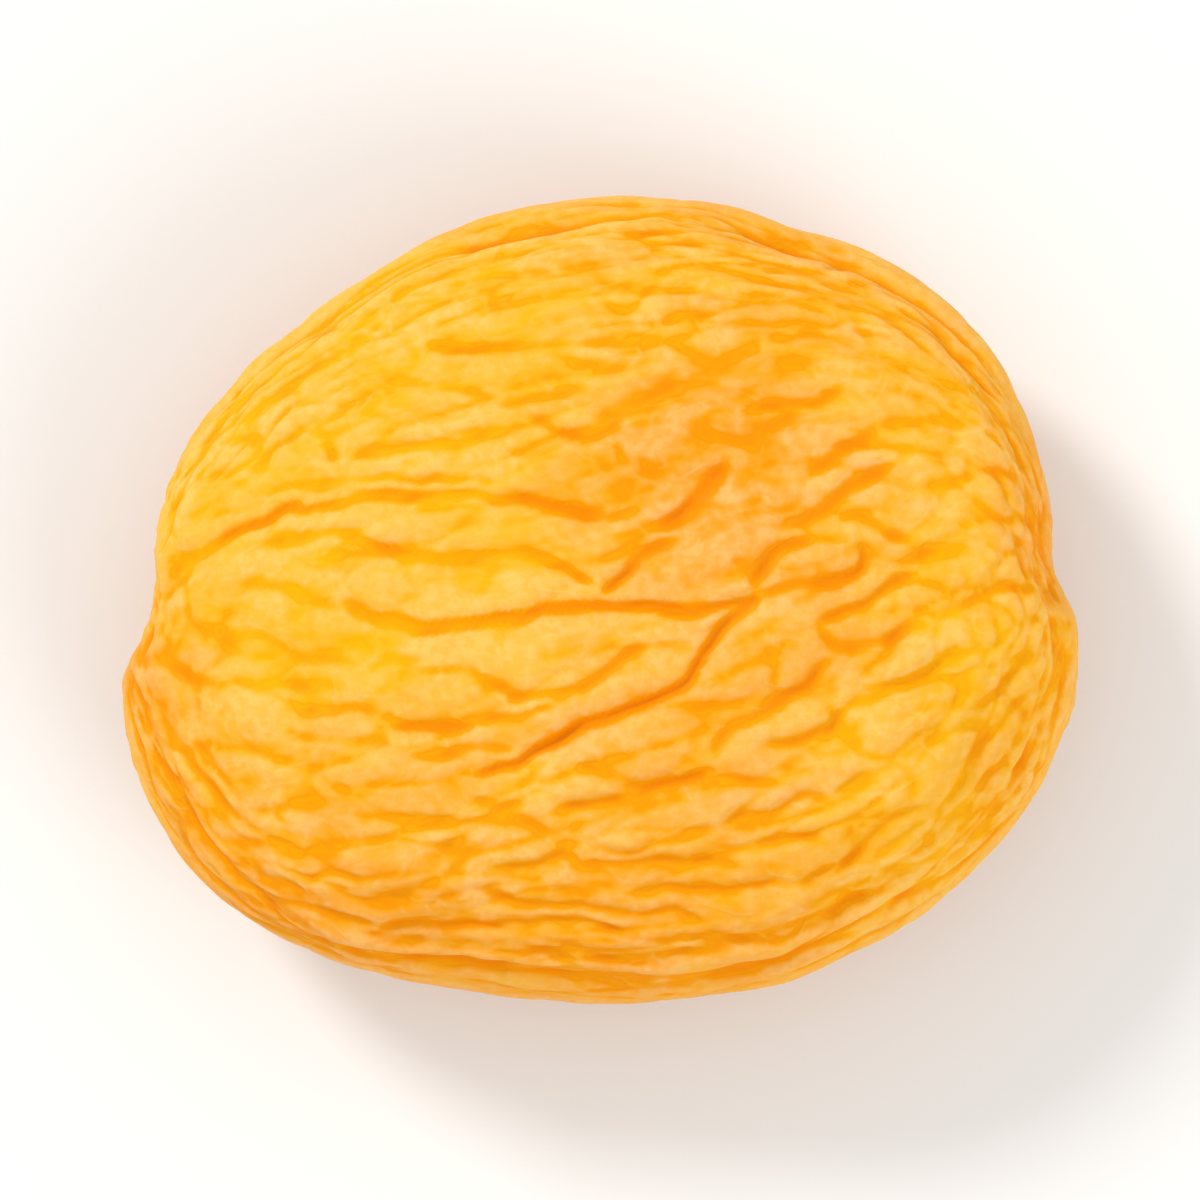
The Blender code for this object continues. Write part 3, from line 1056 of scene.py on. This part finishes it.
@dataclass
class DriedApricot:
    """The whole fruit: its skin on a fine net, and the measures that its finish reads, painted light and
    shade among them.
    """

    net: SkinNet = field(default_factory=SkinNet)
    pillow: Pillow = Pillow()
    flow: SkinFlow = SkinFlow()
    pads: Pads = Pads()
    dents: Dents = Dents()
    edge_folds: EdgeFolds = EdgeFolds()
    rim_rings: RimRings = RimRings()
    wrinkles: FineWrinkles = FineWrinkles()
    upper_face: CreaseFace = CreaseFace(tuple(PhotoRuler().crease(*row) for row in UPPER_READINGS))
    lower_face: CreaseFace = CreaseFace(tuple(Crease(*row) for row in LOWER_CREASES))
    face_start: Span = (0.05, 0.25)
    rest_spot: RestSpot = RestSpot()
    marks: SkinMarks = SkinMarks()

    def build(self, low: Vector, high: Vector) -> bpy.types.Object:
        """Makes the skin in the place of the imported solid.

        Args:
            low: Lowest corner of the solid's box, in metres.
            high: Highest corner of it, in metres.

        Returns:
            The skin.
        """
        along, around = self.net.angles()
        directions = self.net.directions
        flow = self.flow.places(along, around)
        skin = SkinPoints(directions, self.pillow.points(directions), along, around, flow)
        mesh = bpy.data.meshes.new("apricot_skin")
        mesh.from_pydata(skin.body, [], self.net.faces)
        normals = np.empty(skin.body.size, dtype=np.float32)
        mesh.vertex_normals.foreach_get("vector", normals)
        relief = self.relief(skin)
        points = skin.body + normals.reshape(-1, 3) * relief[:, None]
        placed = self.fitted(self.rest_spot.press_flat(points), low, high)
        mesh.vertices.foreach_set("co", placed.astype(np.float32).ravel())
        mesh.update()
        mesh.shade_smooth()
        self.marks.write(mesh, self.net, relief, skin)
        fruit = bpy.data.objects.new("apricot_skin", mesh)
        bpy.context.scene.collection.objects.link(fruit)
        return fruit

    def relief(self, skin: SkinPoints) -> Numbers:
        """Height of the skin over the smooth body.

        Args:
            skin: The points of the skin.

        Returns:
            The height at each point.
        """
        relief = self.pads.relief(skin) + self.dents.relief(skin)
        relief += self.edge_folds.relief(skin) + self.rim_rings.relief(skin)
        relief += self.wrinkles.relief(skin)
        relief += self.upper_face.relief(skin.plan) * ramp(skin.rise, *self.face_start)
        relief += self.lower_face.relief(skin.plan) * ramp(-skin.rise, *self.face_start)
        relief += self.pillow.stem_end.relief(skin.directions) + self.pillow.tip_end.relief(skin.directions)
        return self.net.smoothed(self.rest_spot.settle(relief, skin), 1)

    def fitted(self, points: Numbers, low: Vector, high: Vector) -> Numbers:
        """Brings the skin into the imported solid's box.

        Args:
            points: Points of the skin, in millimetres.
            low: Lowest corner of the box, in metres.
            high: Highest corner of it, in metres.

        Returns:
            The points, in metres.
        """
        lowest, highest = points.min(axis=0), points.max(axis=0)
        share = (points - lowest) / (highest - lowest)
        return np.asarray(low) + share * (np.asarray(high) - np.asarray(low))


@dataclass(frozen=True)
class Step:
    """A smooth step in a material: values from start to end become values from low to high."""

    start: float
    end: float
    low: float = 0.0
    high: float = 1.0


@dataclass(frozen=True)
class Texture:
    """Soft noise in a material: how fine it is, how many finer layers it has, and how far it is twisted."""

    scale: float
    layers: float
    curl: float = 0.0


@dataclass
class Nodes:
    """Adds nodes to one tree."""

    tree: bpy.types.NodeTree

    def attribute(self, mark: Mark, output: str = "Fac") -> Socket:
        """One mark of the skin.

        Args:
            mark: The mark to read.
            output: The name of the socket to read it from.

        Returns:
            The socket of the mark.
        """
        node = self.tree.nodes.new("ShaderNodeAttribute")
        node.attribute_name = mark.value
        return node.outputs[output]

    def place(self, scale: tuple[float, float, float]) -> Socket:
        """The place on the fruit.

        Args:
            scale: How often a metre along each axis is counted.

        Returns:
            The socket of the scaled place.
        """
        node = self.tree.nodes.new("ShaderNodeVectorMath")
        node.operation = "MULTIPLY"
        node.inputs[1].default_value = scale
        place = self.tree.nodes.new("ShaderNodeTexCoord").outputs["Object"]
        self.tree.links.new(place, node.inputs[0])
        return node.outputs["Vector"]

    def noise(self, places: Socket, texture: Texture) -> Socket:
        """Soft noise.

        Args:
            places: The socket that gives the place.
            texture: How the noise looks.

        Returns:
            The socket of the noise.
        """
        node = self.tree.nodes.new("ShaderNodeTexNoise")
        node.inputs["Scale"].default_value = texture.scale
        node.inputs["Detail"].default_value = texture.layers
        node.inputs["Distortion"].default_value = texture.curl
        self.tree.links.new(places, node.inputs["Vector"])
        return node.outputs["Fac"]

    def ranged(self, value: Socket, step: Step) -> Socket:
        """A value brought smoothly from one range to another.

        Args:
            value: The socket of the value.
            step: Both ranges.

        Returns:
            The socket of the result.
        """
        node = self.tree.nodes.new("ShaderNodeMapRange")
        node.interpolation_type = "SMOOTHSTEP"
        self.tree.links.new(value, node.inputs["Value"])
        node.inputs["From Min"].default_value = step.start
        node.inputs["From Max"].default_value = step.end
        node.inputs["To Min"].default_value = step.low
        node.inputs["To Max"].default_value = step.high
        return node.outputs["Result"]

    def band(self, value: Socket, middle: float, reach: float) -> Socket:
        """A soft band of a value.

        Args:
            value: The socket of the value.
            middle: The value at which the band is full.
            reach: How far below and above that it ends.

        Returns:
            The socket of a result that is 1 in the middle and 0 outside the band.
        """
        rising = self.ranged(value, Step(middle - reach, middle))
        falling = self.ranged(value, Step(middle, middle + reach, 1.0, 0.0))
        return self.math("MULTIPLY", rising, falling)

    def math(self, operation: str, first: Socket, second: Socket | float) -> Socket:
        """One sum of two values, kept between 0 and 1.

        Args:
            operation: The name of the sum.
            first: The socket of the first value.
            second: The second value, or the socket of it.

        Returns:
            The socket of the result.
        """
        node = self.tree.nodes.new("ShaderNodeMath")
        node.operation = operation
        node.use_clamp = True
        self.tree.links.new(first, node.inputs[0])
        if isinstance(second, float):
            node.inputs[1].default_value = second
        else:
            self.tree.links.new(second, node.inputs[1])
        return node.outputs["Value"]

    def mix(self, share: Socket, first: Socket | Colour, second: Socket | Colour) -> Socket:
        """A mix of two colours.

        Args:
            share: The socket that gives the share of the second colour.
            first: The first colour, or a socket with it.
            second: The second colour, or a socket with it.

        Returns:
            The socket of the mixed colour.
        """
        node = self.tree.nodes.new("ShaderNodeMix")
        node.data_type = "RGBA"
        self.tree.links.new(share, node.inputs["Factor"])
        for name, colour in (("A", first), ("B", second)):
            socket = next(item for item in node.inputs if item.name == name and item.type == "RGBA")
            if isinstance(colour, tuple):
                socket.default_value = colour
            else:
                self.tree.links.new(colour, socket)
        return next(item for item in node.outputs if item.type == "RGBA")


@dataclass(frozen=True)
class SkinFinish:
    """Satin, slightly see-through fruit skin: deep orange in its creases, partly painted shade, and pale
    gold on its ridges, partly a painted highlight.
    """

    yellow_gold: Colour = (0.86, 0.420, 0.003, 1.0)
    amber_orange: Colour = (0.85, 0.295, 0.001, 1.0)
    # Colours of the creases: partly the skin's deeper tone in its folds, partly painted shade.
    crease_shade_gold: Colour = (0.85, 0.365, 0.001, 1.0)
    crease_shade_orange: Colour = (0.82, 0.235, 0.001, 1.0)
    # Colours of the pad tops: partly the skin's paler tone, partly a painted highlight; the gold also tints
    # the sheen.
    ridge_highlight_gold: Colour = (0.86, 0.500, 0.110, 1.0)
    ridge_highlight_peach: Colour = (0.86, 0.440, 0.120, 1.0)
    least_warmth: float = 0.20
    mottling: Texture = Texture(2.4, 3.0)
    mottled_warmth: Step = Step(0.25, 0.75, 0.0, 0.40)
    valley_warmth: Step = Step(0.05, 0.45)
    pad_warmth: Step = Step(0.25, 0.85)
    speckles_per_metre: float = 2200.0
    speckling: Texture = Texture(1.0, 2.0)
    pale_speckles: Step = Step(0.35, 0.65, 0.55, 1.0)
    unevenness: Texture = Texture(1.1, 1.0)
    uneven_paleness: Step = Step(0.35, 0.65, 0.62, 1.0)
    curl_scale: tuple[float, float, float] = (420.0, 560.0, 560.0)
    curling: Texture = Texture(1.0, 1.0, 0.8)
    curl_middle: float = 0.50
    curl_reach: float = 0.11
    curl_share: float = 0.09
    flake_scale: tuple[float, float, float] = (550.0, 850.0, 850.0)
    flaking: Texture = Texture(1.0, 2.0, 0.5)
    flake_height: Step = Step(0.30, 0.70, 0.0, 0.21)
    ridge_share: float = 0.72
    warm_sinking: Step = Step(0.40, 1.0, 0.0, 0.07)
    pad_edge: Step = Step(0.32, 0.66)
    # Painted shade: a thin deep orange line round the pale pads.
    outline_middle: float = 0.30
    outline_reach: float = 0.10
    outline_strength: float = 0.45
    streaking: Texture = Texture(4.5, 1.0)
    streak_height: Step = Step(0.3, 0.7, 0.0, 0.45)
    speckle_height: float = 0.30
    curl_height: float = 0.40
    wrinkle_depth: float = 0.045
    roughness: Step = Step(0.3, 0.7, 0.42, 0.60)
    gloss: float = 0.04
    bloom: float = 0.10
    bloom_roughness: float = 0.22
    see_through: float = 0.18
    light_reach: float = 0.55
    light_reach_by_colour: tuple[float, float, float] = (1.0, 0.42, 0.10)

    def material(self) -> bpy.types.Material:
        """The skin's material.

        Returns:
            A material that reads the marks on the skin.
        """
        material = bpy.data.materials.new("apricot_skin")
        material.use_nodes = True
        nodes = Nodes(material.node_tree)
        shader = material.node_tree.nodes["Principled BSDF"]
        shader.subsurface_method = "BURLEY"
        flow = nodes.attribute(Mark.FLOW, "Vector")
        speckle = nodes.noise(nodes.place((self.speckles_per_metre,) * 3), self.speckling)
        curls = self.curls(nodes)
        links = material.node_tree.links
        links.new(self.colour(nodes, flow, speckle, curls), shader.inputs["Base Color"])
        links.new(self.bump(nodes, flow, speckle, curls), shader.inputs["Normal"])
        links.new(nodes.ranged(speckle, self.roughness), shader.inputs["Roughness"])
        shader.inputs["Specular IOR Level"].default_value = self.gloss
        shader.inputs["Sheen Weight"].default_value = self.bloom
        shader.inputs["Sheen Roughness"].default_value = self.bloom_roughness
        shader.inputs["Sheen Tint"].default_value = self.ridge_highlight_gold
        shader.inputs["Subsurface Weight"].default_value = self.see_through
        shader.inputs["Subsurface Radius"].default_value = self.light_reach_by_colour
        shader.inputs["Subsurface Scale"].default_value = self.light_reach * MM
        return material

    def colour(self, nodes: Nodes, flow: Socket, speckle: Socket, curls: Socket) -> Socket:
        """The skin's colour, with painted shade in its creases, painted highlights on its pads and rim, and
        painted light and shade in orange and yellow patches.

        Args:
            nodes: Where the nodes go.
            flow: The socket of the place in the rows of pads.
            speckle: The socket of the finest noise.
            curls: The socket of the curly wrinkles.

        Returns:
            The socket of the colour.
        """
        mottle = nodes.ranged(nodes.noise(flow, self.mottling), self.mottled_warmth)
        smooth_warmth = nodes.math("SUBTRACT", nodes.attribute(Mark.WARMTH_AND_SHADING), self.least_warmth)
        warmth_and_shading = nodes.math("ADD", smooth_warmth, mottle)
        base = nodes.mix(warmth_and_shading, self.yellow_gold, self.amber_orange)
        grain = nodes.ranged(speckle, self.pale_speckles)
        level = self.level(nodes, warmth_and_shading, curls)
        uneven = nodes.ranged(nodes.noise(flow, self.unevenness), self.uneven_paleness)
        paleness = nodes.math("MULTIPLY", grain, uneven)
        # Painted highlight, partly the skin's paler tone: raised pads turn pale gold, broken up by speckles,
        # flakes and patches.
        pad = nodes.math("MULTIPLY", nodes.ranged(level, self.pad_edge), paleness)
        pad_highlight = nodes.mix(nodes.ranged(warmth_and_shading, self.pad_warmth), self.ridge_highlight_gold, self.ridge_highlight_peach)
        upper = nodes.mix(pad, base, pad_highlight)
        # Painted shade: sunken skin, and a thin line round the pale pads, take the deep orange of the
        # creases.
        edge = nodes.band(level, self.outline_middle, self.outline_reach)
        outline = nodes.math("MULTIPLY", edge, self.outline_strength)
        valley = nodes.math("MAXIMUM", nodes.attribute(Mark.HOLLOW_SHADE), outline)
        bottom = nodes.mix(nodes.ranged(warmth_and_shading, self.valley_warmth), self.crease_shade_gold, self.crease_shade_orange)
        return nodes.mix(valley, upper, bottom)

    def curls(self, nodes: Nodes) -> Socket:
        """The socket of thin, curly wrinkles, which lie where soft noise has its middle value."""
        waves = nodes.noise(nodes.place(self.curl_scale), self.curling)
        return nodes.band(waves, self.curl_middle, self.curl_reach)

    def level(self, nodes: Nodes, warmth_and_shading: Socket, curls: Socket) -> Socket:
        """How far the skin stands up, with flakes and curly wrinkles added, and less where it is warm: where
        the pads get their pale tone and painted highlight.

        Args:
            nodes: Where the nodes go.
            warmth_and_shading: The socket of how orange the skin is, with painted light and shade in places.
            curls: The socket of the curly wrinkles.

        Returns:
            The socket of a value that is above a half on the pads.
        """
        flakes = nodes.ranged(nodes.noise(nodes.place(self.flake_scale), self.flaking), self.flake_height)
        lines = nodes.math("MULTIPLY", curls, self.curl_share)
        ridge = nodes.math("MULTIPLY", nodes.attribute(Mark.RIDGE_HIGHLIGHT), self.ridge_share)
        level = nodes.math("ADD", ridge, nodes.math("ADD", flakes, lines))
        return nodes.math("SUBTRACT", level, nodes.ranged(warmth_and_shading, self.warm_sinking))

    def bump(self, nodes: Nodes, flow: Socket, speckle: Socket, curls: Socket) -> Socket:
        """The finest relief of the skin.

        Args:
            nodes: Where the nodes go.
            flow: The socket of the place in the rows of pads.
            speckle: The socket of the finest noise.
            curls: The socket of the curly wrinkles.

        Returns:
            The socket of the normal.
        """
        streaks = nodes.ranged(nodes.noise(flow, self.streaking), self.streak_height)
        relief = nodes.math("ADD", nodes.math("MULTIPLY", speckle, self.speckle_height), streaks)
        height = nodes.math("ADD", relief, nodes.math("MULTIPLY", curls, self.curl_height))
        node = nodes.tree.nodes.new("ShaderNodeBump")
        node.inputs["Strength"].default_value = 1.0
        node.inputs["Distance"].default_value = self.wrinkle_depth * MM
        nodes.tree.links.new(height, node.inputs["Height"])
        return node.outputs["Normal"]


@dataclass(frozen=True)
class Lamp:
    """A round, soft lamp that points at the fruit, with its sizes in metres and its power in watts."""

    name: str
    place: tuple[float, float, float]
    size: float
    power: float

    def build(self) -> None:
        """Hangs the lamp in its place."""
        lamp = bpy.data.lights.new(self.name, "AREA")
        lamp.shape = "DISK"
        lamp.size = self.size
        lamp.energy = self.power
        holder = bpy.data.objects.new(self.name, lamp)
        holder.location = self.place
        holder.rotation_euler = (-Vector(self.place)).to_track_quat("-Z", "Y").to_euler()
        bpy.context.scene.collection.objects.link(holder)


@dataclass(frozen=True)
class Studio:
    """A pale floor, soft lights and a camera that looks straight down."""

    flat_radius: float = 1.8
    sweep_radius: float = 1.2
    sweep_steps: int = 16
    sides: int = 96
    floor_colour: Colour = (0.82, 0.81, 0.79, 1.0)
    floor_roughness: float = 0.7
    lamps: tuple[Lamp, ...] = (
        Lamp("key_light", (-1.1, 1.1, 1.2), 0.5, 20.0),
        Lamp("fill_light", (1.1, -0.9, 1.2), 1.2, 11.0),
    )
    sky_colour: Colour = (1.0, 1.0, 1.0, 1.0)
    sky_strength: float = 0.80
    lens: float = 300.0
    sensor: float = 36.0
    framed_width: float = 0.050
    near_share: float = 0.05
    far_share: float = 20.0

    def floor(self) -> bpy.types.Object:
        """The pale floor, which sweeps up to a low wall all round.

        Returns:
            A round sheet, level at height 0 out to its flat radius.
        """
        sheet = bmesh.new()
        bmesh.ops.create_circle(sheet, cap_ends=True, segments=self.sides, radius=self.flat_radius)
        for step in range(self.sweep_steps):
            rim = [edge for edge in sheet.edges if edge.is_boundary]
            grown = bmesh.ops.extrude_edge_only(sheet, edges=rim)["geom"]
            turn = math.pi / 2.0 * (step + 1) / self.sweep_steps
            radius = self.flat_radius + self.sweep_radius * math.sin(turn)
            height = self.sweep_radius * (1.0 - math.cos(turn))
            for vert in (item for item in grown if isinstance(item, bmesh.types.BMVert)):
                flat = vert.co.xy.normalized() * radius
                vert.co = (flat.x, flat.y, height)
        bmesh.ops.recalc_face_normals(sheet, faces=sheet.faces)
        mesh = bpy.data.meshes.new("floor")
        sheet.to_mesh(mesh)
        sheet.free()
        mesh.shade_smooth()
        mesh.materials.append(self.floor_material())
        floor = bpy.data.objects.new("floor", mesh)
        bpy.context.scene.collection.objects.link(floor)
        return floor

    def floor_material(self) -> bpy.types.Material:
        """The plain, pale finish of the floor.

        Returns:
            The material.
        """
        material = bpy.data.materials.new("pale_floor")
        material.use_nodes = True
        shader = material.node_tree.nodes["Principled BSDF"]
        shader.inputs["Base Color"].default_value = self.floor_colour
        shader.inputs["Roughness"].default_value = self.floor_roughness
        return material

    def lights(self) -> None:
        """Two soft lamps and a bright sky."""
        for lamp in self.lamps:
            lamp.build()
        world = bpy.data.worlds.new("studio_sky")
        world.use_nodes = True
        background = world.node_tree.nodes["Background"]
        background.inputs["Color"].default_value = self.sky_colour
        background.inputs["Strength"].default_value = self.sky_strength
        bpy.context.scene.world = world
        bpy.context.scene.view_settings.view_transform = "Standard"

    def camera(self, target: Vector) -> None:
        """The camera, straight above the fruit.

        Args:
            target: The middle of the fruit.
        """
        camera = bpy.data.cameras.new("camera")
        camera.lens = self.lens
        camera.sensor_width = self.sensor
        distance = self.framed_width * self.lens / self.sensor
        camera.clip_start = distance * self.near_share
        camera.clip_end = distance * self.far_share
        holder = bpy.data.objects.new("camera", camera)
        holder.location = target + Vector((0.0, 0.0, distance))
        bpy.context.scene.collection.objects.link(holder)
        bpy.context.scene.camera = holder


def corners(box: tuple[Vector, Vector]) -> list[list[float]]:
    """A box as plain lists of numbers."""
    return [list(corner) for corner in box]


def main() -> None:
    """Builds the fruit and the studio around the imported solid."""
    logging.basicConfig(level=logging.INFO, format="%(message)s")
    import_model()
    low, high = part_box(NODE)
    skin = DriedApricot().build(low, high)
    skin.data.materials.append(SkinFinish().material())
    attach(skin, BODY)
    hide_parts(NODE)
    LOG.info("apricot skin: %d faces", len(skin.data.polygons))
    studio = Studio()
    studio.floor()
    LOG.info("floor: %.1f m across", 2.0 * (studio.flat_radius + studio.sweep_radius))
    studio.lights()
    studio.camera((low + high) / 2.0)


if __name__ == "__main__":
    main()
